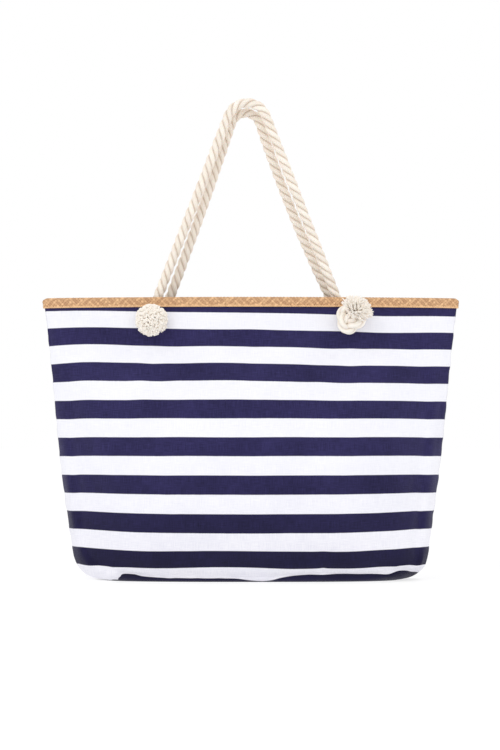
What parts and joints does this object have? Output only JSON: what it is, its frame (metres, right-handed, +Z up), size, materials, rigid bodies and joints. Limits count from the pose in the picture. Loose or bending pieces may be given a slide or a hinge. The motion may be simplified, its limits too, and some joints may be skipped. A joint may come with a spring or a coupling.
{
  "type": "beach bag",
  "caption": "Striped canvas tote with a wide mouth, a rounded flat-bottomed body, a plaited rim band, two twisted rope handles with stopper knots and a zipped inside pocket.",
  "frame": {"origin": "middle of the flat base, on the ground", "axes": "+X to the right across the bag, +Y to the back, +Z up through the handles"},
  "size_m": [0.5592, 0.1764, 0.642],
  "materials": {
    "striped_canvas": "navy and white striped canvas weave",
    "lining_cotton": "plain cotton weave",
    "straw_plait": "plaited straw",
    "seam_canvas": "folded canvas edge",
    "cotton_rope": "three-strand twisted cotton",
    "knotted_rope": "knotted and frayed cotton",
    "eyelet_metal": "satin nickel",
    "snap_metal": "satin brass",
    "zip_tape": "woven tape",
    "zip_metal": "polished brass"
  },
  "bodies": {
    "bag": {"canvas_front": "striped_canvas", "canvas_back": "striped_canvas", "lining_front": "lining_cotton", "lining_back": "lining_cotton", "rim_plait": "straw_plait", "side_seam_left": "seam_canvas", "side_seam_right": "seam_canvas", "bottom_seam": "seam_canvas", "rope_tails_front": "cotton_rope", "rope_tails_back": "cotton_rope", "knot_front_left": "knotted_rope", "knot_front_right": "knotted_rope", "knot_back_left": "knotted_rope", "knot_back_right": "knotted_rope", "eyelets": "eyelet_metal", "eyelet_washers": "eyelet_metal", "snap_socket": "snap_metal", "snap_stud": "snap_metal", "pocket_patch": "lining_cotton", "zip_tape": "zip_tape", "zip_teeth": "zip_metal", "zip_stops": "zip_metal"},
    "front_handle": {"rope_handle_front": "cotton_rope"},
    "back_handle": {"rope_handle_back": "cotton_rope"},
    "zip_slider": {"zip_slider": "zip_metal"},
    "zip_pull": {"zip_pull": "zip_metal"}
  },
  "joints": [
    {"name": "front_handle_swing", "type": "hinge", "parent": "bag", "child": "front_handle", "pos_m": [0, -0.023, 0.375], "axis": [1, 0, 0], "range_deg": [0, 135]},
    {"name": "back_handle_swing", "type": "hinge", "parent": "bag", "child": "back_handle", "pos_m": [0, 0.023, 0.375], "axis": [-1, 0, 0], "range_deg": [0, 135]},
    {"name": "zip_slide", "type": "slide", "parent": "bag", "child": "zip_slider", "axis": [1, 0, 0], "range_m": [0, 0.122]},
    {"name": "zip_pull_swing", "type": "hinge", "parent": "zip_slider", "child": "zip_pull", "pos_m": [-0.062, 0.0244, 0.31629], "axis": [1, 0, 0], "range_deg": [-150, 15]}
  ]
}
